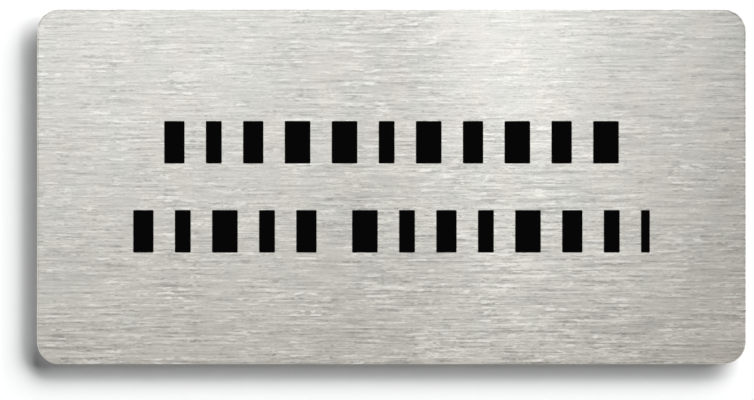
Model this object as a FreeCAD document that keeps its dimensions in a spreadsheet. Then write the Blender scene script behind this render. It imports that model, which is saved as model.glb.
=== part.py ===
import FreeCAD, Part
import math
import os

import Sketcher

# A self-adhesive door sign: a brushed steel plate with rounded corners, two rows
# of printed marks on its face, and three strips of foam tape behind it.
#
# The sign stands upright, as it does on its wall. +X points to the reader's right,
# +Z points up and +Y points into the wall. The origin is on the wall, behind the
# middle of the plate, so the tape starts at y = 0 and the reader stands at -Y.

doc = FreeCAD.newDocument("door_sign")

# Driving dimensions, in millimetres
SIZES = [
    ("plate_length", 160.0, "plate, left to right"),
    ("plate_height", 80.0, "plate, bottom to top"),
    ("plate_thickness", 1.0, "steel sheet"),
    ("corner_radius", 5.0, "rounded corners of the outline"),
    ("front_edge_round", 0.2, "edge of the face, rolled over by the punch and the brush"),
    ("back_edge_break", 0.1, "burr taken off the back edge"),
    ("tape_thickness", 1.0, "foam tape, from the wall to the plate"),
    ("tape_width", 12.0, "one strip, left to right"),
    ("tape_end_margin", 5.0, "from the end of a strip to the plate's long edge"),
    ("tape_side_margin", 8.0, "from an outer strip to the plate's short edge"),
    ("ink_thickness", 0.04, "film of screen ink"),
    ("mark_height", 9.6, "printed marks, bottom to top"),
    ("narrow_mark", 3.6, "width of a narrow mark"),
    ("middle_mark", 4.6, "width of a middle mark"),
    ("wide_mark", 5.8, "width of a wide mark"),
    ("thin_mark", 2.0, "width of the thin mark that ends the lower row"),
    ("mark_gap", 4.8, "between two marks of a group"),
    ("group_gap", 8.0, "between the two groups of the lower row"),
    ("row_pitch", 20.1, "from the middle of the upper row to that of the lower row"),
]

sizes = doc.addObject("Spreadsheet::Sheet", "sizes")
for number, (alias, value, meaning) in enumerate(SIZES, start=1):
    sizes.set(f"A{number}", meaning)
    sizes.set(f"B{number}", str(value))
    sizes.setAlias(f"B{number}", alias)
doc.recompute()


# Plate

# A sketch names a point of a line or an arc by number
START = 1
END = 2
CENTRE = 3
SKETCH_ORIGIN = (-1, START)


def draw_outline(sketch):
    """Draw the plate's rounded rectangle about the sketch's origin, tied to the sheet."""
    right = sizes.plate_length / 2
    top = sizes.plate_height / 2
    radius = sizes.corner_radius
    corner_x = right - radius
    corner_z = top - radius
    axis = FreeCAD.Vector(0, 0, 1)

    # The sides run anticlockwise from the bottom one, each with the corner at its end
    sides = [
        ((-corner_x, -top), (corner_x, -top), (corner_x, -corner_z)),
        ((right, -corner_z), (right, corner_z), (corner_x, corner_z)),
        ((corner_x, top), (-corner_x, top), (-corner_x, corner_z)),
        ((-right, corner_z), (-right, -corner_z), (-corner_x, -corner_z)),
    ]
    for number, (start, end, centre) in enumerate(sides):
        side = Part.LineSegment(FreeCAD.Vector(*start, 0), FreeCAD.Vector(*end, 0))
        circle = Part.Circle(FreeCAD.Vector(*centre, 0), axis, radius)
        turn = (number - 1) * math.pi / 2
        sketch.addGeometry(side)
        sketch.addGeometry(Part.ArcOfCircle(circle, turn, turn + math.pi / 2))

    bottom, first_corner, right_side, top_side, third_corner, left_side = 0, 1, 2, 4, 5, 6
    for side in range(0, 8, 2):
        corner = side + 1
        next_side = (side + 2) % 8
        level = side in (bottom, top_side)
        sketch.addConstraint(Sketcher.Constraint("Horizontal" if level else "Vertical", side))
        sketch.addConstraint(Sketcher.Constraint("Tangent", side, END, corner, START))
        sketch.addConstraint(Sketcher.Constraint("Tangent", corner, END, next_side, START))
        if corner != first_corner:
            sketch.addConstraint(Sketcher.Constraint("Equal", first_corner, corner))

    # Opposite corners mirror each other in the origin, which centres the outline
    sketch.addConstraint(
        Sketcher.Constraint(
            "Symmetric", first_corner, CENTRE, third_corner, CENTRE, *SKETCH_ORIGIN
        )
    )

    measures = [
        ("plate_length", "DistanceX", (left_side, START, right_side, START)),
        ("plate_height", "DistanceY", (bottom, START, top_side, START)),
        ("corner_radius", "Radius", (first_corner,)),
    ]
    for alias, kind, points in measures:
        value = getattr(sizes, alias)
        index = sketch.addConstraint(Sketcher.Constraint(kind, *points, value))
        sketch.setExpression(f"Constraints[{index}]", f"sizes.{alias}")


def face_towards(feature, direction):
    """Name the flat face that lies furthest in a direction."""
    faces = feature.Shape.Faces
    reach = [face.CenterOfMass.dot(direction) for face in faces]
    return f"Face{reach.index(max(reach)) + 1}"


def make_plate():
    """Make the plate: one sheet, padded from its outline, with both edges eased."""
    body = doc.addObject("PartDesign::Body", "sign_plate")
    body.Label = "sign_plate"

    outline = body.newObject("Sketcher::SketchObject", "plate_outline")
    wall_plane = next(plane for plane in body.Origin.OriginFeatures if plane.Role == "XZ_Plane")
    outline.AttachmentSupport = [(wall_plane, "")]
    outline.MapMode = "FlatFace"
    # The sketch's own axis points away from the wall, to the reader
    outline.setExpression("AttachmentOffset.Base.z", "sizes.tape_thickness")
    draw_outline(outline)

    sheet_metal = body.newObject("PartDesign::Pad", "sheet_metal")
    sheet_metal.Profile = outline
    sheet_metal.setExpression("Length", "sizes.plate_thickness")
    doc.recompute()

    rolled_edge = body.newObject("PartDesign::Fillet", "rolled_edge")
    rolled_edge.Base = (sheet_metal, [face_towards(sheet_metal, FreeCAD.Vector(0, -1, 0))])
    rolled_edge.setExpression("Radius", "sizes.front_edge_round")
    doc.recompute()

    broken_edge = body.newObject("PartDesign::Chamfer", "broken_edge")
    broken_edge.Base = (rolled_edge, [face_towards(rolled_edge, FreeCAD.Vector(0, 1, 0))])
    broken_edge.setExpression("Size", "sizes.back_edge_break")
    doc.recompute()
    return body


# Foam tape


def make_tape_strip(name, left_edge):
    """Make one upright strip of tape. left_edge is an expression for its left side."""
    strip = doc.addObject("Part::Box", name)
    strip.Label = name
    strip.setExpression("Length", "sizes.tape_width")
    strip.setExpression("Width", "sizes.tape_thickness")
    strip.setExpression("Height", "sizes.plate_height - 2 * sizes.tape_end_margin")
    strip.setExpression("Placement.Base.x", left_edge)
    strip.setExpression("Placement.Base.y", "-sizes.tape_thickness")
    strip.setExpression("Placement.Base.z", "sizes.tape_end_margin - sizes.plate_height / 2")
    return strip


TAPE_LEFT_EDGES = {
    "tape_strip_left": "sizes.tape_side_margin - sizes.plate_length / 2",
    "tape_strip_centre": "-sizes.tape_width / 2",
    "tape_strip_right": "sizes.plate_length / 2 - sizes.tape_side_margin - sizes.tape_width",
}


# Print

# Each row is a list of groups, and each group a list of marks by their width
UPPER_GROUPS = [
    "middle narrow middle wide wide narrow wide middle wide middle wide".split(),
]
LOWER_GROUPS = [
    "middle narrow wide narrow middle".split(),
    "wide narrow middle narrow wide middle narrow thin".split(),
]


def make_print_row(name, groups, middle_height):
    """Print one row of marks, centred left to right, as films of ink on the face.

    middle_height is an expression for the height of the row's middle line.
    """
    widths = [f"sizes.{mark}_mark" for group in groups for mark in group]
    gaps_in_groups = len(widths) - len(groups)
    row_length = " + ".join(
        widths
        + [f"{gaps_in_groups} * sizes.mark_gap", f"{len(groups) - 1} * sizes.group_gap"]
    )

    marks = []
    left_edge = f"-({row_length}) / 2"
    for group in groups:
        for mark in group:
            film = doc.addObject("Part::Box", f"{name}_{mark}_mark")
            film.setExpression("Length", f"sizes.{mark}_mark")
            film.setExpression("Width", "sizes.ink_thickness")
            film.setExpression("Height", "sizes.mark_height")
            film.setExpression("Placement.Base.x", left_edge)
            film.setExpression(
                "Placement.Base.y",
                "-(sizes.tape_thickness + sizes.plate_thickness + sizes.ink_thickness)",
            )
            film.setExpression("Placement.Base.z", f"{middle_height} - sizes.mark_height / 2")
            marks.append(film)
            right_edge = f"{film.Name}.Placement.Base.x + {film.Name}.Length"
            left_edge = f"{right_edge} + sizes.mark_gap * 1 mm"
        left_edge = f"{right_edge} + sizes.group_gap * 1 mm"

    row = doc.addObject("Part::Compound", name)
    row.Label = name
    row.Links = marks
    return row


# Whole sign

sub_parts = [make_plate()]
for strip_name, strip_left_edge in TAPE_LEFT_EDGES.items():
    sub_parts.append(make_tape_strip(strip_name, strip_left_edge))
sub_parts.append(make_print_row("print_row_upper", UPPER_GROUPS, "sizes.row_pitch / 2"))
sub_parts.append(make_print_row("print_row_lower", LOWER_GROUPS, "-sizes.row_pitch / 2"))
doc.recompute()

failed = [item.Label for item in doc.Objects if {"Invalid", "Error"} & set(item.State)]
if failed:
    raise RuntimeError(f"these objects did not build: {failed}")
for sub_part in sub_parts:
    if sub_part.Shape.isNull() or not sub_part.Shape.isValid():
        raise RuntimeError(f"{sub_part.Label} has no valid shape")

os.makedirs("parts", exist_ok=True)
for sub_part in sub_parts:
    sub_part.Shape.exportStep(f"parts/{sub_part.Label}.step")
    box = sub_part.Shape.optimalBoundingBox()
    print(
        f"{sub_part.Label}: {len(sub_part.Shape.Solids)} solids,",
        f"{box.XLength:.2f} x {box.YLength:.2f} x {box.ZLength:.2f} mm,",
        f"{sub_part.Shape.Volume:.2f} cubic mm",
    )
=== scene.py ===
# %% [markdown]
# # A brushed steel door sign
#
# The object is a small self-adhesive sign, as seen on the door of a plant room: one
# brushed steel plate with rounded corners, two rows of black marks printed on it, and
# three strips of foam tape that hold it to the wall. It is a good first lesson in
# metal, because nearly all of its look comes from one fine finish and from what that
# finish reflects.
#
# The sizes are settled before Blender starts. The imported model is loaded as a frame,
# and every piece below is built on the boxes and meshes of that frame.

# %% Load the frame
import math

import bmesh
import bpy
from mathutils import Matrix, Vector, noise


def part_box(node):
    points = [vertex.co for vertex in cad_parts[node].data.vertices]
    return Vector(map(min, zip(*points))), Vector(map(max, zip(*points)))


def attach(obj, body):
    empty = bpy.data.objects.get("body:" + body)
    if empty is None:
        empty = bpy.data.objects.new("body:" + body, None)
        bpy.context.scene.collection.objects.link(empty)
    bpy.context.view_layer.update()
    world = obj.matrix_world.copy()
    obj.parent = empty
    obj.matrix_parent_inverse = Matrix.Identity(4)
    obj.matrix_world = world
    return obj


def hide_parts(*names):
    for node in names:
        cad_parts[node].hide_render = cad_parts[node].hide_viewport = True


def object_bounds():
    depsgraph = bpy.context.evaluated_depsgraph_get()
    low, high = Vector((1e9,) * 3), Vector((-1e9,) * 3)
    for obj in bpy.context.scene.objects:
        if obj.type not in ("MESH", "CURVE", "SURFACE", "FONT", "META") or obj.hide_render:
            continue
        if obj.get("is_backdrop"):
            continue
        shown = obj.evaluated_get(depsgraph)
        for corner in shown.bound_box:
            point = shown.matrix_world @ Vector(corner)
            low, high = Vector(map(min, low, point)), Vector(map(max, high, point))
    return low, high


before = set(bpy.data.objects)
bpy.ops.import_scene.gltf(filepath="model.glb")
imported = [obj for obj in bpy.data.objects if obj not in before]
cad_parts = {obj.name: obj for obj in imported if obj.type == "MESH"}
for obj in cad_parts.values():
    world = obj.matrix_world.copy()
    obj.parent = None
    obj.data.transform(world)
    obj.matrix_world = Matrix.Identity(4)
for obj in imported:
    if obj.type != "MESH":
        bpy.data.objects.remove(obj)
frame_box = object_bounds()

MM = 0.001
print("pieces in the frame:", ", ".join(sorted(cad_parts)))

# %% [markdown]
# ## The camera
#
# The photograph looks straight at the plate, so its edges are level and upright and
# no side shows. A camera can be placed by eye, but here the plate's edges in the
# picture are known, so the place is worked out: the width of the plate in pixels
# gives the scale, and the middle of the picture says how far the camera stands to the
# side of the plate's own middle. A long lens keeps the view as flat as a catalogue's.

# %% Place the camera
PICTURE_WIDTH = 754
PICTURE_HEIGHT = 400
PLATE_LEFT_PIXEL = 37.0
PLATE_RIGHT_PIXEL = 746.0
PLATE_TOP_PIXEL = 9.3
PLATE_BOTTOM_PIXEL = 364.3
LENS = 100
SENSOR_WIDTH = 36

plate_low, plate_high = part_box("sign_plate")
plate_middle = (plate_low + plate_high) / 2
plate_size = plate_high - plate_low
pixel = plate_size.x / (PLATE_RIGHT_PIXEL - PLATE_LEFT_PIXEL)
right_shift = PICTURE_WIDTH / 2 - (PLATE_LEFT_PIXEL + PLATE_RIGHT_PIXEL) / 2
drop = PICTURE_HEIGHT / 2 - (PLATE_TOP_PIXEL + PLATE_BOTTOM_PIXEL) / 2
camera_distance = LENS * PICTURE_WIDTH * pixel / SENSOR_WIDTH

camera = bpy.data.objects.new("camera", bpy.data.cameras.new("camera"))
camera.data.lens = LENS
camera.data.sensor_width = SENSOR_WIDTH
camera.location = (
    plate_middle.x + right_shift * pixel,
    plate_low.y - camera_distance,
    plate_middle.z - drop * pixel,
)
camera.rotation_euler = (math.radians(90), 0, 0)
bpy.context.collection.objects.link(camera)
bpy.context.scene.camera = camera
print(f"camera {camera_distance:.3f} m in front of the plate, {MM / pixel:.2f} pixels to the mm")

# %% [markdown]
# ## Helpers for shader nodes
#
# A material is a small graph. Adding each node and each link by hand takes many
# lines, so a few helpers do it. `put` adds a node and fills its inputs, with plain
# values or with another node's output. The others do the same for the nodes that are
# used most: a sum, a mix of two values or colours, and a change of range.

# %% Make the node helpers
def put(tree, kind, inputs=None, **settings):
    """Add a node, set its settings, and fill its inputs with values or with links."""
    node = tree.nodes.new(kind)
    for name, value in settings.items():
        setattr(node, name, value)
    for name, value in (inputs or {}).items():
        if isinstance(value, bpy.types.NodeSocket):
            tree.links.new(value, node.inputs[name])
        else:
            node.inputs[name].default_value = value
    return node


def calculate(tree, operation, *values, clamp=False):
    """Add a Math node and return its output."""
    inputs = dict(enumerate(values))
    return put(tree, "ShaderNodeMath", inputs, operation=operation, use_clamp=clamp).outputs[0]


def mix_values(tree, factor, low, high):
    """Mix two values by a factor and return the mix."""
    return put(tree, "ShaderNodeMix", {0: factor, 2: low, 3: high}).outputs[0]


def mix_colours(tree, factor, low, high):
    """Mix two colours, given as (red, green, blue) or as sockets, and return the mix."""
    inputs = {0: factor}
    for socket, colour in ((6, low), (7, high)):
        inputs[socket] = colour if isinstance(colour, bpy.types.NodeSocket) else (*colour, 1)
    return put(tree, "ShaderNodeMix", inputs, data_type="RGBA").outputs[2]


def spread(tree, value, low, high, to_low=0.0, to_high=1.0):
    """Stretch the part of a value from low to high over to_low to to_high."""
    inputs = {"Value": value, "From Min": low, "From Max": high}
    inputs.update({"To Min": to_low, "To Max": to_high})
    return put(tree, "ShaderNodeMapRange", inputs).outputs[0]


def new_material(name):
    """Make an empty node material. Returns it with its tree and its output node."""
    material = bpy.data.materials.new(name)
    material.use_nodes = True
    material.node_tree.nodes.clear()
    output = material.node_tree.nodes.new("ShaderNodeOutputMaterial")
    return material, material.node_tree, output


# %% [markdown]
# ## The wall and the floor
#
# The sign hangs on a white wall, which shows nothing but the soft shadow round the
# plate. The wall is a stage, not a part of the sign. It would hide the sign from
# behind, so its back is clear: a Light Path or a second scene could do that too, but
# Geometry's Backfacing needs one link. Only the camera sees the wall and the floor. To
# other rays they aren't there, so the floor throws no glare up on the wall, and light
# reaches the back of the sign. The floor lies well below the plate, so that the plate's
# shadow on it stays away from the middle of the view.

# %% Build the wall and the floor
WALL_GAP = 0.1 * MM
FLOOR_DROP = 95 * MM
STAGE_REACH = 6.0
WALL_BRIGHTNESS = 0.9
FLOOR_BRIGHTNESS = 0.34


def stage_sheet(name, corners, material):
    """Make one flat rectangle of the stage."""
    mesh = bpy.data.meshes.new(name)
    mesh.from_pydata(corners, [], [(0, 1, 2, 3)])
    mesh.materials.append(material)
    sheet = bpy.data.objects.new(name, mesh)
    bpy.context.collection.objects.link(sheet)
    sheet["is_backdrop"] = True
    return sheet


def stage_paint(name, brightness):
    """Matt paint that is clear from behind."""
    material, tree, output = new_material(name)
    paint = put(tree, "ShaderNodeBsdfDiffuse", {"Color": (brightness, brightness, brightness, 1)})
    clear = put(tree, "ShaderNodeBsdfTransparent")
    side = put(tree, "ShaderNodeNewGeometry").outputs["Backfacing"]
    one_way = put(tree, "ShaderNodeMixShader", {0: side, 1: paint.outputs[0], 2: clear.outputs[0]})
    tree.links.new(one_way.outputs[0], output.inputs["Surface"])
    return material


wall_y = frame_box[1].y + WALL_GAP
floor_z = frame_box[0].z - FLOOR_DROP
wall = stage_sheet(
    "wall",
    [
        (-STAGE_REACH, wall_y, floor_z),
        (STAGE_REACH, wall_y, floor_z),
        (STAGE_REACH, wall_y, STAGE_REACH),
        (-STAGE_REACH, wall_y, STAGE_REACH),
    ],
    stage_paint("wall_paint", WALL_BRIGHTNESS),
)
floor = stage_sheet(
    "floor",
    [
        (-STAGE_REACH, -STAGE_REACH, floor_z),
        (STAGE_REACH, -STAGE_REACH, floor_z),
        (STAGE_REACH, STAGE_REACH, floor_z),
        (-STAGE_REACH, STAGE_REACH, floor_z),
    ],
    stage_paint("floor_paint", FLOOR_BRIGHTNESS),
)
for sheet in (wall, floor):
    sheet.visible_diffuse = False
    sheet.visible_glossy = False
    sheet.visible_transmission = False
    sheet.visible_shadow = False
print(f"wall at y = {wall_y / MM:.1f} mm, floor at z = {floor_z / MM:.1f} mm")

# %% [markdown]
# ## The light
#
# Two things are lit in different ways. The wall is matt, so it adds up all the light
# that reaches it. A wide key light, high on the right and close to the wall's own plane,
# throws the broad shadow to the left of the plate and below it. It could be one sun with
# a very wide disc, but that blurs the whole shadow and leaves no part of it deep. Here
# four suns stand for four parts of the key light. Their shadows overlap, so they add up
# to one that is deep at the plate and thins out away from it.
#
# The plate is metal, so it shows only what lies where a mirror would look, which is the
# room behind the camera. The suns are hidden from mirrors, and a row of softboxes stands
# there instead: their places make the bright band and the dark right end of the plate.

# %% Build the suns
def aim(holder, place, target):
    """Stand a light at place and turn it to target."""
    holder.location = place
    turn = (Vector(target) - Vector(place)).to_track_quat("-Z", "Y")
    holder.rotation_euler = turn.to_euler()
    bpy.context.collection.objects.link(holder)


def new_sun(name, place, width, strength):
    """Make a light that comes evenly from far away. width is that of its disc, in degrees."""
    light = bpy.data.lights.new(name, "SUN")
    light.angle = math.radians(width)
    light.energy = strength
    holder = bpy.data.objects.new(name, light)
    holder.visible_glossy = False
    aim(holder, place, (0, 0, 0))


# For each sun: how far right and how high it stands for each metre out from the wall,
# and its strength
SUNS = [(2.7, 2.0, 2.88), (2.0, 2.7, 2.88), (2.7, 0.8, 2.28), (0.8, 2.7, 2.28)]
SUN_WIDTH = 20
for number, (right, high, strength) in enumerate(SUNS, start=1):
    new_sun(f"sun_{number}", (right, -1.0, high), SUN_WIDTH, strength)
print(f"{len(SUNS)} suns, each {SUN_WIDTH} degrees wide")

# %% Build the softboxes
SOFTBOX_COLOUR = (0.935, 0.967, 1.0)


def softbox(name, place, target, width, height, radiance):
    """Make a rectangular light that looks at target. radiance is its brightness as seen."""
    light = bpy.data.lights.new(name, "AREA")
    light.shape = "RECTANGLE"
    light.size = width
    light.size_y = height
    light.energy = radiance * math.pi * width * height
    light.color = SOFTBOX_COLOUR
    holder = bpy.data.objects.new(name, light)
    holder.visible_camera = False
    aim(holder, place, target)


# For each softbox: its left side, its right side and its brightness. They stand side by
# side, because where two overlap in one plane, only one of them is counted.
SOFTBOX_DISTANCE = 1.5
SOFTBOX_HEIGHT = 0.9
SOFTBOXES = [
    (-0.45, -0.01, 1.20),
    (0.01, 0.07, 0.98),
    (0.07, 0.17, 1.90),
    (0.17, 0.36, 0.97),
]
for number, (left, right, radiance) in enumerate(SOFTBOXES, start=1):
    middle = (left + right) / 2
    place = (middle, -SOFTBOX_DISTANCE, SOFTBOX_HEIGHT / 2)
    facing = (middle, 0, SOFTBOX_HEIGHT / 2)
    softbox(f"softbox_{number}", place, facing, right - left, SOFTBOX_HEIGHT, radiance)
print(f"{len(SOFTBOXES)} softboxes, {SOFTBOX_DISTANCE} m in front of the wall")

# %% [markdown]
# ## The room
#
# The world stands for the room, and each kind of ray meets its own room. The camera sees
# pale grey. Matt surfaces get hardly any fill from the front, so that the shadow on the
# wall stays deep, and a full one from behind, which lights the foam on the back. Metal
# mirrors a room with light walls at the sides and behind the sign, and a darker one in
# front of it, with a warm band low down, as over a wooden floor. An environment picture
# would do all this, but a few nodes keep every value in reach.

# %% Build the world
ROOM_SEEN = 0.95
ROOM_FILL_FRONT = 0.03
ROOM_FILL_BACK = 1.05
ROOM_FRONT_LOW = 0.365
ROOM_FRONT_HIGH = 0.38
ROOM_SIDES = 0.90
ROOM_LOW_COLOUR = (1.0, 0.86, 0.715)

# Where one part of the room passes into the next. Each end is a direction's own part
# along X, Y or Z: -1 and 1 lie straight along the axis, and 0 square to it.
FRONT_RISE = (-0.15, 0.15)
FRONT_TO_BACK = (-0.75, -0.35)
FRONT_TO_SIDE = (0.22, 0.4)
FILL_TO_BACK = (0.0, 0.3)
WARM_FROM_ABOVE = (0.1, -0.3)
WARM_FROM_BELOW = (-0.75, -0.4)

world = bpy.data.worlds.new("studio")
bpy.context.scene.world = world
world.use_nodes = True
room_tree = world.node_tree
room_tree.nodes.clear()
ray = put(room_tree, "ShaderNodeLightPath")
look = put(room_tree, "ShaderNodeTexCoord").outputs["Generated"]
look = put(room_tree, "ShaderNodeSeparateXYZ", {0: look})
front = spread(room_tree, look.outputs["Z"], *FRONT_RISE, ROOM_FRONT_LOW, ROOM_FRONT_HIGH)
behind = spread(room_tree, look.outputs["Y"], *FRONT_TO_BACK)
sideways = calculate(room_tree, "ABSOLUTE", look.outputs["X"])
sideways = spread(room_tree, sideways, *FRONT_TO_SIDE)
beside = calculate(room_tree, "MAXIMUM", behind, sideways)
mirrored = mix_values(room_tree, beside, front, ROOM_SIDES)
fill = spread(room_tree, look.outputs["Y"], *FILL_TO_BACK, ROOM_FILL_FRONT, ROOM_FILL_BACK)
strength = mix_values(room_tree, ray.outputs["Is Glossy Ray"], fill, mirrored)
strength = mix_values(room_tree, ray.outputs["Is Camera Ray"], strength, ROOM_SEEN)
warm_band = calculate(
    room_tree,
    "MULTIPLY",
    spread(room_tree, look.outputs["Z"], *WARM_FROM_ABOVE),
    spread(room_tree, look.outputs["Z"], *WARM_FROM_BELOW),
)
warm_band = calculate(room_tree, "MULTIPLY", warm_band, ray.outputs["Is Glossy Ray"])
ahead = calculate(room_tree, "SUBTRACT", 1.0, beside)
warm_band = calculate(room_tree, "MULTIPLY", warm_band, ahead)
colour = mix_colours(room_tree, warm_band, (1, 1, 1), ROOM_LOW_COLOUR)
room = put(room_tree, "ShaderNodeBackground", {"Color": colour, "Strength": strength})
put(room_tree, "ShaderNodeOutputWorld", {"Surface": room.outputs[0]})
bpy.context.scene.view_settings.view_transform = "Standard"
print(f"the room is made of {len(room_tree.nodes)} nodes")

# %% [markdown]
# ## Helpers for meshes
#
# The plate and the printed marks are the same kind of solid: a flat slab with a
# rounded outline and eased edges. It could be a cube with a Bevel modifier, but then
# corner radius and edge radius depend on each other. Here each slab is a stack of
# outlines, one inside the other, like the contour lines of a flat hill, joined by
# quads. Each outline says how far it is drawn in and how deep it lies.

# %% Make the slab helper
def rounded_outline(centre, half_width, half_height, radius, steps):
    """List the (x, z) points of a rounded rectangle, anticlockwise for the reader."""
    points = []
    for corner, (right, up) in enumerate([(1, -1), (1, 1), (-1, 1), (-1, -1)]):
        middle_x = centre[0] + right * (half_width - radius)
        middle_z = centre[1] + up * (half_height - radius)
        for step in range(steps + 1):
            turn = math.radians(90) * (corner - 1 + step / steps)
            points.append((middle_x + radius * math.cos(turn), middle_z + radius * math.sin(turn)))
    return points


def join_rings(mesh, rings):
    """Join rings of points by quads, from the front one to the back one, and close both ends.

    Returns the two end faces.
    """
    for nearer, further in zip(rings, rings[1:]):
        for place in range(len(nearer)):
            after = (place + 1) % len(nearer)
            mesh.faces.new((nearer[place], further[place], further[after], nearer[after]))
    return mesh.faces.new(rings[0]), mesh.faces.new(reversed(rings[-1]))


def add_slab(mesh, centre, half_width, half_height, radius, front_y, profile, steps):
    """Add a slab to a bmesh.

    profile lists (inset, depth) pairs from the front face to the back one. Inset is how
    far the outline is drawn in there, and depth how far it lies behind the front.
    """
    rings = []
    for inset, depth in profile:
        outline = rounded_outline(
            centre, half_width - inset, half_height - inset, radius - inset, steps
        )
        rings.append([mesh.verts.new((x, front_y + depth, z)) for x, z in outline])
    join_rings(mesh, rings)


def quarter_round(radius, steps):
    """List (inset, depth) pairs down a quarter circle, from a face to its side."""
    turns = [math.radians(90) * step / steps for step in range(steps + 1)]
    return [(radius * (1 - math.sin(turn)), radius * (1 - math.cos(turn))) for turn in turns]


def finish_piece(name, mesh, materials, node, smooth_angle=40):
    """Turn a bmesh into an object that stands for a node of the frame."""
    data = bpy.data.meshes.new(name)
    mesh.to_mesh(data)
    mesh.free()
    for material in materials:
        data.materials.append(material)
    data.shade_smooth()
    data.set_sharp_from_angle(angle=math.radians(smooth_angle))
    piece = bpy.data.objects.new(name, data)
    bpy.context.collection.objects.link(piece)
    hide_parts(node)
    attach(piece, "root")
    print(f"{name}: {len(data.vertices)} points, {len(data.polygons)} faces")


# %% [markdown]
# ## Grain
#
# Brushing leaves thousands of shallow scratches that all run the same way. Each could be
# a mesh line or a painted map. Noise stretched along one axis does it anywhere on the
# plate and at any zoom. One noise would give scratches of one length, and the eye
# notices that, so the group adds five layers, of which the two finest show only from
# close by. Then come the few deep scratches that stand out, each with a painted highlight
# on its lip and painted shade in its groove, a few small pits, the patches where the
# brush pressed more or less, and last one patch low on the right where the scratches are
# painted stronger, as the sparkle of a highlight. It is a node group because the face,
# the edge and the back all use it, with their own lengths. It puts out the scratches as
# a height, where 0.5 is plain metal, and some broad blotches for a drift in colour.

# %% Make the group helpers
FLOAT = "NodeSocketFloat"
VECTOR = "NodeSocketVector"


def new_group(name, inputs, outputs):
    """Make a shader node group. inputs maps each socket to (type, value)."""
    group = bpy.data.node_groups.new(name, "ShaderNodeTree")
    for socket, (kind, value) in inputs.items():
        made = group.interface.new_socket(socket, in_out="INPUT", socket_type=kind)
        made.default_value = value
    for socket, kind in outputs.items():
        group.interface.new_socket(socket, in_out="OUTPUT", socket_type=kind)
    return group, group.nodes.new("NodeGroupInput"), group.nodes.new("NodeGroupOutput")


def stretched_noise(tree, place, length, width, detail, offset, rise):
    """Add noise whose blotches are length along X and width across it. Returns 0 to 1.

    offset picks another part of the noise, and rise lifts it by a share of width.
    """
    across = calculate(tree, "DIVIDE", 1.0, width)
    stretch = put(
        tree,
        "ShaderNodeCombineXYZ",
        {"X": calculate(tree, "DIVIDE", 1.0, length), "Y": across, "Z": across},
    ).outputs[0]
    scaled = put(
        tree,
        "ShaderNodeVectorMath",
        {0: place, 1: stretch, 2: (offset, offset, offset - rise)},
        operation="MULTIPLY_ADD",
    ).outputs[0]
    blotches = put(tree, "ShaderNodeTexNoise", {"Vector": scaled, "Scale": 1.0, "Detail": detail})
    return blotches.outputs[0]


# %% Lay down the fine scratches
grain, grain_in, grain_out = new_group(
    "metal_grain",
    {"Place": (VECTOR, (0, 0, 0)), "Length": (FLOAT, 36 * MM), "Width": (FLOAT, 0.6 * MM)},
    {"Scratches": FLOAT, "Blotches": FLOAT},
)


def grain_noise(length_share, width_share, offset, detail=0.0, rise=0.0):
    """Add noise to the grain group, sized as shares of the group's Length and Width."""
    return stretched_noise(
        grain,
        grain_in.outputs["Place"],
        calculate(grain, "MULTIPLY", grain_in.outputs["Length"], length_share),
        calculate(grain, "MULTIPLY", grain_in.outputs["Width"], width_share),
        detail,
        offset,
        rise,
    )


# Long noise makes straight lines, and short noise makes each line come and go. For each
# layer: the length and width of its lines and of its breaks, as a share of the group's,
# how much of the line is left in a break, where less than none turns light to dark, and
# its weight. Each noise starts at a place of its own, so that no two run together.
GROUND_LAYERS = [
    ((1, 1.15), (1 / 6, 1.6), 0.6, 0.24),
    ((1 / 2, 1.05), (1 / 13, 1.5), 0.0, 0.28),
    ((1 / 4, 0.95), (1 / 28, 0.7), -0.6, 0.48),
    ((1 / 2, 0.20), (1 / 7, 0.5), 0.0, 0.36),
    ((1 / 3, 0.08), (1 / 12, 0.2), 0.2, 0.32),
]
LINE_START = 7.3
BREAK_START = 31.9
BREAK_RANGE = (0.3, 0.7)
STRONGEST = 2.0

scratches = 0.0
for number, (line_share, break_share, left, weight) in enumerate(GROUND_LAYERS, start=1):
    line = calculate(grain, "SUBTRACT", grain_noise(*line_share, LINE_START * number), 0.5)
    breaks = grain_noise(*break_share, BREAK_START * number)
    breaks = spread(grain, breaks, *BREAK_RANGE, left, STRONGEST)
    line = calculate(grain, "MULTIPLY", line, breaks)
    scratches = calculate(grain, "MULTIPLY_ADD", line, weight, scratches)
print(f"{len(GROUND_LAYERS)} layers of fine scratches")

# %% Cut the deep scratches
# A deep scratch is a bundle of hairs, painted with a highlight on its lip and, just
# under it, painted shade in its groove, as if lit from above. A long noise keeps it
# straight, and a shorter one cuts it to length. For the painted highlight and for the
# painted shade: how far up it lies, as a share of the width, and its weight.
DEEP_HIGHLIGHT_AND_SHADE = [(0.0, 2.4), (-0.8, -0.5)]
DEEP_LEVEL = 0.56
DEEP_CUT = (0.47, 0.60)
HAIR_RANGE = (0.35, 0.65)

hairs = spread(grain, grain_noise(0.4, 0.11, 44.2), *HAIR_RANGE, 0.0, STRONGEST)
for rise, weight in DEEP_HIGHLIGHT_AND_SHADE:
    deep = calculate(grain, "SUBTRACT", grain_noise(0.6, 0.75, 61.9, rise=rise), DEEP_LEVEL)
    deep = calculate(grain, "MAXIMUM", deep, 0.0)
    kept = spread(grain, grain_noise(0.1, 1.4, 74.6, rise=rise), *DEEP_CUT)
    deep = calculate(grain, "MULTIPLY", deep, kept)
    deep = calculate(grain, "MULTIPLY", deep, hairs)
    scratches = calculate(grain, "MULTIPLY_ADD", deep, weight, scratches)

# %% Add the pits, the brush's pressure and the painted sparkle
# Only the lowest tips of a short noise go deep enough to be a pit
PIT_LEVEL = 0.23
PIT_WEIGHT = -2.5
pits = calculate(grain, "SUBTRACT", PIT_LEVEL, grain_noise(0.015, 0.7, 83.3))
pits = calculate(grain, "MAXIMUM", pits, 0.0)
scratches = calculate(grain, "MULTIPLY_ADD", pits, PIT_WEIGHT, scratches)

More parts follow.
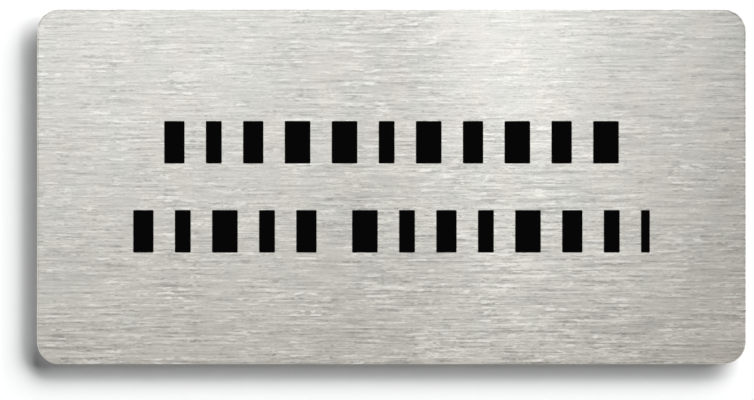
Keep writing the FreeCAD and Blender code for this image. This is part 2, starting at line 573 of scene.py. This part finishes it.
# The pressure changes from patch to patch, and is 1 on average
LEAST_PRESSURE = 0.2
PRESSURE_SWING = 1.6
pressure_and_sparkle = grain_noise(0.35, 15.0, 97.1, detail=1.0)
pressure_and_sparkle = calculate(grain, "MULTIPLY_ADD", pressure_and_sparkle, PRESSURE_SWING, LEAST_PRESSURE)

# The scratches are painted stronger on one tall patch, low on the right, where the
# highlight band falls. This is painted sparkle of that highlight, and it raises the bump and
# the roughness there too. Its gain fades out over its reach across and up. The reach in
# depth is far more than the plate's thickness, so that depth doesn't count.
SPARKLE_MIDDLE = (31 * MM, 0, -30 * MM)
SPARKLE_REACH = (31 * MM, 1, 78 * MM)
SPARKLE_GAIN = 1.55
from_sparkle = put(
    grain,
    "ShaderNodeVectorMath",
    {0: grain_in.outputs["Place"], 1: SPARKLE_MIDDLE},
    operation="SUBTRACT",
).outputs["Vector"]
from_sparkle = put(
    grain, "ShaderNodeVectorMath", {0: from_sparkle, 1: SPARKLE_REACH}, operation="DIVIDE"
).outputs["Vector"]
from_sparkle = put(grain, "ShaderNodeVectorMath", {0: from_sparkle}, operation="LENGTH").outputs["Value"]
painted_sparkle = spread(grain, from_sparkle, 1.0, 0.0, 1.0, SPARKLE_GAIN)
# Painted sparkle: the brush's random pressure is raised on that patch
pressure_and_sparkle = calculate(grain, "MULTIPLY", pressure_and_sparkle, painted_sparkle)

PLAIN_METAL = 0.5
scratches = calculate(grain, "MULTIPLY_ADD", scratches, pressure_and_sparkle, PLAIN_METAL, clamp=True)
blotches = grain_noise(0.25, 16.0, 51.7, detail=1.0)
grain.links.new(scratches, grain_out.inputs["Scratches"])
grain.links.new(blotches, grain_out.inputs["Blotches"])
print(f"the grain group is made of {len(grain.nodes)} nodes")

# %% [markdown]
# ## The brushed face
#
# Under the scratches the metal is one warm grey. A scratch shows in three ways: it is
# darker in its groove and lighter on its lip, it scatters light more, and it tilts the
# surface. In the deep scratches that darker groove and lighter lip are painted shade and
# a painted highlight. All the grooves run along X, so the face mirrors sharply along them
# and smears everything across them. That is anisotropy: the Tangent node gives the
# direction, and the shader's own Anisotropic value the strength. The back of the sheet
# is the same metal as it left the mill, with longer, weaker lines and less shine.

# %% Make the metal helper
DEEPEST_GROOVE = 0.2
HIGHEST_LIP = 1.0
ROUGHNESS_RANGE = (0.2, 0.8)
DRIFT_RANGE = (0.3, 0.7)
SCRATCH_DEPTH = 0.1 * MM


def metal(name, cool, warm, contrast, roughness, bump, anisotropic, length, width):
    """Make metal with a grain along X.

    cool and warm are its two shades, which drift into each other. contrast is how much
    darker than they are the deepest groove is, and roughness its (low, high) range.
    """
    material, tree, output = new_material(name)
    grained = put(tree, "ShaderNodeGroup", node_tree=grain)
    tree.links.new(put(tree, "ShaderNodeTexCoord").outputs["Object"], grained.inputs["Place"])
    grained.inputs["Length"].default_value = length
    grained.inputs["Width"].default_value = width
    scratches = grained.outputs["Scratches"]
    drift = spread(tree, grained.outputs["Blotches"], *DRIFT_RANGE)
    shade = mix_colours(tree, drift, cool, warm)
    gain = contrast * (HIGHEST_LIP - PLAIN_METAL) / (PLAIN_METAL - DEEPEST_GROOVE)
    tone = spread(tree, scratches, DEEPEST_GROOVE, HIGHEST_LIP, 1 - contrast, 1 + gain)
    colour = put(tree, "ShaderNodeVectorMath", {0: shade, 1: tone}, operation="MULTIPLY")
    normal = put(
        tree, "ShaderNodeBump", {"Height": scratches, "Strength": bump, "Distance": SCRATCH_DEPTH}
    )
    along = put(tree, "ShaderNodeTangent", direction_type="RADIAL", axis="Z")
    shader = put(
        tree,
        "ShaderNodeBsdfPrincipled",
        {
            "Base Color": colour.outputs[0],
            "Metallic": 1.0,
            "Roughness": spread(tree, scratches, *ROUGHNESS_RANGE, *roughness),
            "Anisotropic": anisotropic,
            "Anisotropic Rotation": 0.25,
            "Normal": normal.outputs[0],
            "Tangent": along.outputs[0],
        },
    )
    tree.links.new(shader.outputs[0], output.inputs["Surface"])
    return material


# %% Build the brushed face and the mill back
brushed_face = metal(
    "brushed_face",
    cool=(0.670, 0.668, 0.627),
    warm=(0.698, 0.676, 0.631),
    contrast=0.34,
    roughness=(0.205, 0.295),
    bump=0.04,
    anisotropic=0.9,
    length=24 * MM,
    width=0.55 * MM,
)
mill_back = metal(
    "mill_back",
    cool=(0.60, 0.60, 0.575),
    warm=(0.64, 0.63, 0.60),
    contrast=0.12,
    roughness=(0.36, 0.46),
    bump=0.1,
    anisotropic=0.4,
    length=60 * MM,
    width=0.6 * MM,
)
print(f"metals: {brushed_face.name} and {mill_back.name}")

# %% [markdown]
# ## The punched edge
#
# A punch leaves two bands round a sheet's edge: a bright one, which the punch has rubbed
# smooth, and behind it a dull one, where the metal has broken off. Fine lines run
# through both, from the face to the back. The bands could be two materials on two rings
# of faces. Here a ramp over the depth does it, because the border between them wanders.

# %% Build the punched edge
RUBBED_DEPTH = 0.45 * MM
RUBBED_COLOUR = (0.68, 0.67, 0.63)
BROKEN_COLOUR = (0.44, 0.43, 0.40)
EDGE_LINE_LENGTH = 6 * MM
EDGE_LINE_WIDTH = 0.09 * MM
EDGE_LINE_DEPTH = 0.05 * MM
BORDER_SCALE = 900.0
BORDER_WANDER = 0.25 * MM
BORDER = (0.08 * MM, 0.17 * MM)

punched_edge, edge_tree, edge_output = new_material("punched_edge")
edge_place = put(edge_tree, "ShaderNodeTexCoord").outputs["Object"]
edge_axes = put(edge_tree, "ShaderNodeSeparateXYZ", {0: edge_place})
turned = put(
    edge_tree,
    "ShaderNodeCombineXYZ",
    {"X": edge_axes.outputs["Y"], "Y": edge_axes.outputs["X"], "Z": edge_axes.outputs["Z"]},
)
edge_grain = put(edge_tree, "ShaderNodeGroup", node_tree=grain)
edge_tree.links.new(turned.outputs[0], edge_grain.inputs["Place"])
edge_grain.inputs["Length"].default_value = EDGE_LINE_LENGTH
edge_grain.inputs["Width"].default_value = EDGE_LINE_WIDTH
border = put(edge_tree, "ShaderNodeTexNoise", {"Vector": edge_place, "Scale": BORDER_SCALE})
edge_depth = calculate(edge_tree, "SUBTRACT", edge_axes.outputs["Y"], plate_low.y + RUBBED_DEPTH)
edge_depth = calculate(edge_tree, "MULTIPLY_ADD", border.outputs[0], BORDER_WANDER, edge_depth)
broken = spread(edge_tree, edge_depth, *BORDER)
edge_tone = spread(edge_tree, edge_grain.outputs["Scratches"], 0.3, 0.7, 0.82, 1.18)
edge_shade = mix_colours(edge_tree, broken, RUBBED_COLOUR, BROKEN_COLOUR)
edge_colour = put(
    edge_tree, "ShaderNodeVectorMath", {0: edge_shade, 1: edge_tone}, operation="MULTIPLY"
)
edge_normal = put(
    edge_tree,
    "ShaderNodeBump",
    {
        "Height": edge_grain.outputs["Scratches"],
        "Strength": mix_values(edge_tree, broken, 0.15, 0.7),
        "Distance": EDGE_LINE_DEPTH,
    },
)
edge_shader = put(
    edge_tree,
    "ShaderNodeBsdfPrincipled",
    {
        "Base Color": edge_colour.outputs[0],
        "Metallic": 1.0,
        "Roughness": mix_values(edge_tree, broken, 0.26, 0.5),
        "Normal": edge_normal.outputs[0],
    },
)
edge_tree.links.new(edge_shader.outputs[0], edge_output.inputs["Surface"])
print(f"the edge is rubbed bright for {RUBBED_DEPTH / MM:.2f} mm from the face")

# %% [markdown]
# ## The plate
#
# The real plate is punched from brushed sheet. The punch rolls the front edge over a
# little, and the burr is taken off the back edge. Those eased edges catch the light as
# thin lines, which is what makes a thin plate look solid. One more outline runs a little
# way in from each edge, so that smooth shading leaves the two flat sides flat. The
# faces then get their metal by how deep they lie: brushed face, punched edge or back.

# %% Build the plate
CORNER_RADIUS = 5.0 * MM
ROLLED_EDGE = 0.2 * MM
BROKEN_EDGE = 0.1 * MM
EDGE_LOOP = 0.3 * MM
CORNER_STEPS = 16

plate_mesh = bmesh.new()
plate_profile = (
    [(ROLLED_EDGE + EDGE_LOOP, 0)]
    + quarter_round(ROLLED_EDGE, 5)
    + [
        (0, plate_size.y - BROKEN_EDGE),
        (BROKEN_EDGE, plate_size.y),
        (BROKEN_EDGE + EDGE_LOOP, plate_size.y),
    ]
)
add_slab(
    plate_mesh,
    (plate_middle.x, plate_middle.z),
    plate_size.x / 2,
    plate_size.z / 2,
    CORNER_RADIUS,
    plate_low.y,
    plate_profile,
    CORNER_STEPS,
)
# The brush reaches over most of the rolled edge, and the broken edge is part of the back
FACE, EDGE, BACK = 0, 1, 2
face_depth = plate_low.y + ROLLED_EDGE * 0.6
back_depth = plate_high.y - BROKEN_EDGE * 0.9
for face in plate_mesh.faces:
    depth = face.calc_center_median().y
    face.material_index = FACE if depth < face_depth else BACK if depth > back_depth else EDGE
print(f"the plate is a stack of {len(plate_profile)} outlines")

# %% [markdown]
# ## A flat map of the plate
#
# A model that leaves Blender takes its looks along as pictures, painted on a flat map of
# its surface. Blender can cut a surface up by itself, but it would part the thin rim from
# the face and leave it in slivers. A sheet metal worker's pattern is better: the face
# with its rim folded out round it, and the back beside it. Then the only seam runs along
# the back edge, where nobody looks. As the points stand in rings, a ring's place on
# the map is its outline, as far out as the way to it along the surface.

# %% Draw the flat map
BAKE_MAP = "OFBake"
MAP_MARGIN = 1.0 * MM


def unfolded_rings(profile):
    """Lay a profile's rings flat, outwards from its first one. Returns them and their reach."""
    way = 0
    rings = []
    for here, before in zip(profile, profile[:1] + profile):
        way += math.dist(here, before)
        reach = way - profile[0][0]
        half_width = plate_size.x / 2 + reach
        half_height = plate_size.z / 2 + reach
        rings.append(
            rounded_outline((0, 0), half_width, half_height, CORNER_RADIUS + reach, CORNER_STEPS)
        )
    return rings, reach


# The chamfer's outer ring is the last of the front's rings and the last of the back's
BACK_RINGS = 3
front_rings, front_reach = unfolded_rings(plate_profile[: 1 - BACK_RINGS])
back_rings, back_reach = unfolded_rings(plate_profile[-1 : -1 - BACK_RINGS : -1])
map_size = plate_size.x + 2 * front_reach + 2 * MAP_MARGIN
front_middle = map_size - MAP_MARGIN - front_reach - plate_size.z / 2
back_middle = MAP_MARGIN + back_reach + plate_size.z / 2
points_in_ring = len(front_rings[0])
flat_map = plate_mesh.loops.layers.uv.new(BAKE_MAP)
plate_mesh.verts.index_update()
for face in plate_mesh.faces:
    for corner in face.loops:
        ring, place = divmod(corner.vert.index, points_in_ring)
        if face.material_index == BACK:
            across, up = back_rings[len(plate_profile) - 1 - ring][place]
            corner[flat_map].uv = (0.5 - across / map_size, (back_middle + up) / map_size)
        else:
            across, up = front_rings[ring][place]
            corner[flat_map].uv = (0.5 + across / map_size, (front_middle + up) / map_size)
print(f"the flat map is {map_size / MM:.1f} mm wide")

finish_piece(
    "brushed_plate",
    plate_mesh,
    [brushed_face, punched_edge, mill_back],
    "sign_plate",
)

# %% [markdown]
# ## The print
#
# The marks are black ink, squeezed through a screen and cured on the steel. They could
# be a mask in the face's own material, but ink stands up from the metal: the film is
# thin, yet it has a shoulder that shines, and its corners are never quite square. The
# frame holds one plain box for each mark, so each film is a small slab on its own box.

# %% Build the ink
INK_DARK = (0.0004, 0.0004, 0.0004)
INK_LIGHT = (0.0012, 0.0012, 0.0012)
INK_SPECKLE_SCALE = 2500.0
INK_SPECKLE_DEPTH = 0.02 * MM

print_ink, ink_tree, ink_output = new_material("print_ink")
ink_place = put(ink_tree, "ShaderNodeTexCoord").outputs["Object"]
ink_speckle = put(
    ink_tree,
    "ShaderNodeTexNoise",
    {"Vector": ink_place, "Scale": INK_SPECKLE_SCALE, "Detail": 3.0},
).outputs[0]
ink_normal = put(
    ink_tree,
    "ShaderNodeBump",
    {"Height": ink_speckle, "Strength": 0.15, "Distance": INK_SPECKLE_DEPTH},
).outputs[0]
ink_shader = put(
    ink_tree,
    "ShaderNodeBsdfPrincipled",
    {
        "Base Color": mix_colours(ink_tree, ink_speckle, INK_DARK, INK_LIGHT),
        "Roughness": spread(ink_tree, ink_speckle, 0.3, 0.7, 0.45, 0.6),
        "Specular IOR Level": 0.02,
        "Normal": ink_normal,
    },
)
ink_tree.links.new(ink_shader.outputs[0], ink_output.inputs["Surface"])
print(f"the ink's speckle is {INK_SPECKLE_DEPTH / MM:.2f} mm deep")


# %% Find the place of each mark
SAME_POINT = 0.001 * MM


def loose_boxes(node):
    """List the (low, high) corners of each separate solid in a node's mesh, left to right."""
    mesh = bmesh.new()
    mesh.from_mesh(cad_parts[node].data)
    bmesh.ops.remove_doubles(mesh, verts=mesh.verts, dist=SAME_POINT)
    waiting = set(mesh.verts)
    boxes = []
    while waiting:
        edge_of_search = [waiting.pop()]
        solid = []
        while edge_of_search:
            point = edge_of_search.pop()
            solid.append(point.co.copy())
            for edge in point.link_edges:
                neighbour = edge.other_vert(point)
                if neighbour in waiting:
                    waiting.remove(neighbour)
                    edge_of_search.append(neighbour)
        low = Vector(min(point[axis] for point in solid) for axis in range(3))
        high = Vector(max(point[axis] for point in solid) for axis in range(3))
        boxes.append((low, high))
    mesh.free()
    return sorted(boxes, key=lambda box: box[0].x)


# %% Print the two rows
INK_CORNER = 0.25 * MM
INK_SHOULDER = 0.02 * MM
INK_CORNER_STEPS = 5
INK_SHOULDER_STEPS = 3

# From the flat top of the film, over its shoulder, down to the steel
shoulder = [(INK_SHOULDER * 4, 0)] + quarter_round(INK_SHOULDER, INK_SHOULDER_STEPS)


def print_row(name, node):
    """Print one row: a film of ink on each of the node's boxes."""
    mesh = bmesh.new()
    boxes = loose_boxes(node)
    for low, high in boxes:
        middle = (low + high) / 2
        size = high - low
        add_slab(
            mesh,
            (middle.x, middle.z),
            size.x / 2,
            size.z / 2,
            INK_CORNER,
            low.y,
            shoulder + [(0, size.y)],
            INK_CORNER_STEPS,
        )
    print(f"{name}: {len(boxes)} marks")
    finish_piece(name, mesh, [print_ink], node, smooth_angle=60)


print_row("ink_row_upper", "print_row_upper")
print_row("ink_row_lower", "print_row_lower")

# %% [markdown]
# ## The foam tape
#
# The strips behind the plate are white closed-cell foam with a film of adhesive on both
# sides. They are slit from a wide roll, so the long sides wander a little, and they are
# cut to length by hand, so the ends are not quite square. Pressed between the plate and
# the wall, the foam swells out between its two films. A Displace modifier on a box
# would bend its sides, but dent its flat films as well. So each strip is a stack of
# outlines, as the plate is, with more points along its sides so that they can wander.
# The cut sides show the foam's cells, and the film over it is smoother, a little yellow
# and shiny, with dimples where the cells lie under it. Both are painted darker where the
# cells and dimples dip, as painted shade, over a random mottle. Both come from one
# function, with their own colours and their own size of dimple.

# %% Build the speckle group
# The scale of the broad mottle, as a share of the pores' scale
MOTTLE_SHARE = 0.15

speckle, speckle_in, speckle_out = new_group(
    "speckle",
    {"Place": (VECTOR, (0, 0, 0)), "Size": (FLOAT, 0.4 * MM)},
    {"Pores": FLOAT, "Mottle": FLOAT},
)
speckle_scale = calculate(speckle, "DIVIDE", 1.0, speckle_in.outputs["Size"])
pores = put(
    speckle,
    "ShaderNodeTexVoronoi",
    {"Vector": speckle_in.outputs["Place"], "Scale": speckle_scale},
    feature="SMOOTH_F1",
)
mottle = put(
    speckle,
    "ShaderNodeTexNoise",
    {
        "Vector": speckle_in.outputs["Place"],
        "Scale": calculate(speckle, "MULTIPLY", speckle_scale, MOTTLE_SHARE),
        "Detail": 4.0,
    },
)
speckle.links.new(pores.outputs["Distance"], speckle_out.inputs["Pores"])
speckle.links.new(mottle.outputs[0], speckle_out.inputs["Mottle"])
print(f"the speckle group is made of {len(speckle.nodes)} nodes")


# %% Build the foam and the adhesive
def foam_skin(name, dark, light, roughness, size, depth, specular):
    """Make foam or the film on it, with pores or dimples of a size and a depth, and painted shade
    in them.
    """
    material, tree, output = new_material(name)
    speckled = put(tree, "ShaderNodeGroup", node_tree=speckle)
    tree.links.new(put(tree, "ShaderNodeTexCoord").outputs["Object"], speckled.inputs["Place"])
    speckled.inputs["Size"].default_value = size
    # The colour is darkest where the pores and dimples dip, as painted shade, with a random mottle
    # on top
    tone = calculate(tree, "MULTIPLY", speckled.outputs["Pores"], 0.6)
    tone = calculate(tree, "MULTIPLY_ADD", speckled.outputs["Mottle"], 0.6, tone)
    normal = put(
        tree,
        "ShaderNodeBump",
        {"Height": speckled.outputs["Pores"], "Strength": 1.0, "Distance": depth},
    )
    shader = put(
        tree,
        "ShaderNodeBsdfPrincipled",
        {
            "Base Color": mix_colours(tree, spread(tree, tone, 0.3, 0.8), dark, light),
            "Roughness": spread(tree, speckled.outputs["Mottle"], 0.3, 0.7, *roughness),
            "Specular IOR Level": specular,
            "Normal": normal.outputs[0],
        },
    )
    tree.links.new(shader.outputs[0], output.inputs["Surface"])
    return material


foam = foam_skin(
    "foam", (0.58, 0.58, 0.56), (0.82, 0.82, 0.795), (0.8, 0.95), 0.25 * MM, 0.05 * MM, 0.3
)
adhesive = foam_skin(
    "adhesive", (0.66, 0.65, 0.60), (0.76, 0.75, 0.71), (0.22, 0.5), 0.9 * MM, 0.03 * MM, 0.5
)
print(f"tape: {foam.name} and {adhesive.name}")

# %% Make the tape's outline
TAPE_CORNER = 0.3 * MM
TAPE_CORNER_STEPS = 3
TAPE_POINT_GAP = 1.0 * MM


def walk_outline(corners, gap):
    """Add points along the long runs of a closed outline, so that no run exceeds gap."""
    points = []
    for start, end in zip(corners, corners[1:] + corners[:1]):
        length = math.dist(start, end)
        pieces = max(1, math.ceil(length / gap))
        for piece in range(pieces):
            share = piece / pieces
            points.append(tuple(a + (b - a) * share for a, b in zip(start, end)))
    return points


# %% Make the strip helper
TAPE_WANDER = 0.12 * MM
TAPE_SLANT = 0.35 * MM
TAPE_END = 1.5 * MM
FILM = 0.06 * MM
FILM_INSET = 0.10 * MM
SWELL_STEPS = 6
# How fast the sides wander, in bumps to the metre across and up
WANDER_SCALE = (300, 120)


def tape_strip(name, node, seed):
    """Make one strip of tape inside its node's box. seed makes its sides differ."""
    low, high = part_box(node)
    middle = (low + high) / 2
    half_width = (high.x - low.x) / 2
    half_height = (high.z - low.z) / 2
    thickness = high.y - low.y
    foam_thickness = thickness - 2 * FILM

    profile = [(FILM_INSET, 0), (FILM_INSET, FILM)]
    for step in range(1, SWELL_STEPS):
        share = step / SWELL_STEPS
        swell = math.sin(math.pi * share)
        profile.append((FILM_INSET * (1 - swell), FILM + share * foam_thickness))
    profile += [(FILM_INSET, thickness - FILM), (FILM_INSET, thickness)]

    mesh = bmesh.new()
    rings = []
    for inset, depth in profile:
        corners = rounded_outline(
            (0, 0), half_width - inset, half_height - inset, TAPE_CORNER, TAPE_CORNER_STEPS
        )
        ring = []
        for x, z in walk_outline(corners, TAPE_POINT_GAP):
            spot = Vector((x * WANDER_SCALE[0], z * WANDER_SCALE[1], seed))
            wander = (noise.noise(spot) + 1) / 2
            slant = (x / half_width * math.copysign(1, z) + 1) / 2
            x -= math.copysign(wander * TAPE_WANDER, x)
            if abs(z) > half_height - TAPE_END:
                z -= math.copysign(slant * TAPE_SLANT, z)
            ring.append(mesh.verts.new((middle.x + x, low.y + depth, middle.z + z)))
        rings.append(ring)
    for film in join_rings(mesh, rings):
        film.material_index = 1
    finish_piece(name, mesh, [foam, adhesive], node, smooth_angle=50)


# %% Build the three strips
for seed, side in enumerate(("left", "centre", "right"), start=1):
    tape_strip(f"foam_strip_{side}", f"tape_strip_{side}", seed)

# %% [markdown]
# ## The sizes
#
# The dressed sign has to be as large as the frame. The two boxes could be compared by
# eye in a viewport, but numbers are surer, so both are printed.

# %% Write the sizes and finish
visual_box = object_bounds()
for label, box in (("frame", frame_box), ("dressed sign", visual_box)):
    print(f"{label}: " + " x ".join(f"{side / MM:.2f}" for side in box[1] - box[0]) + " mm")
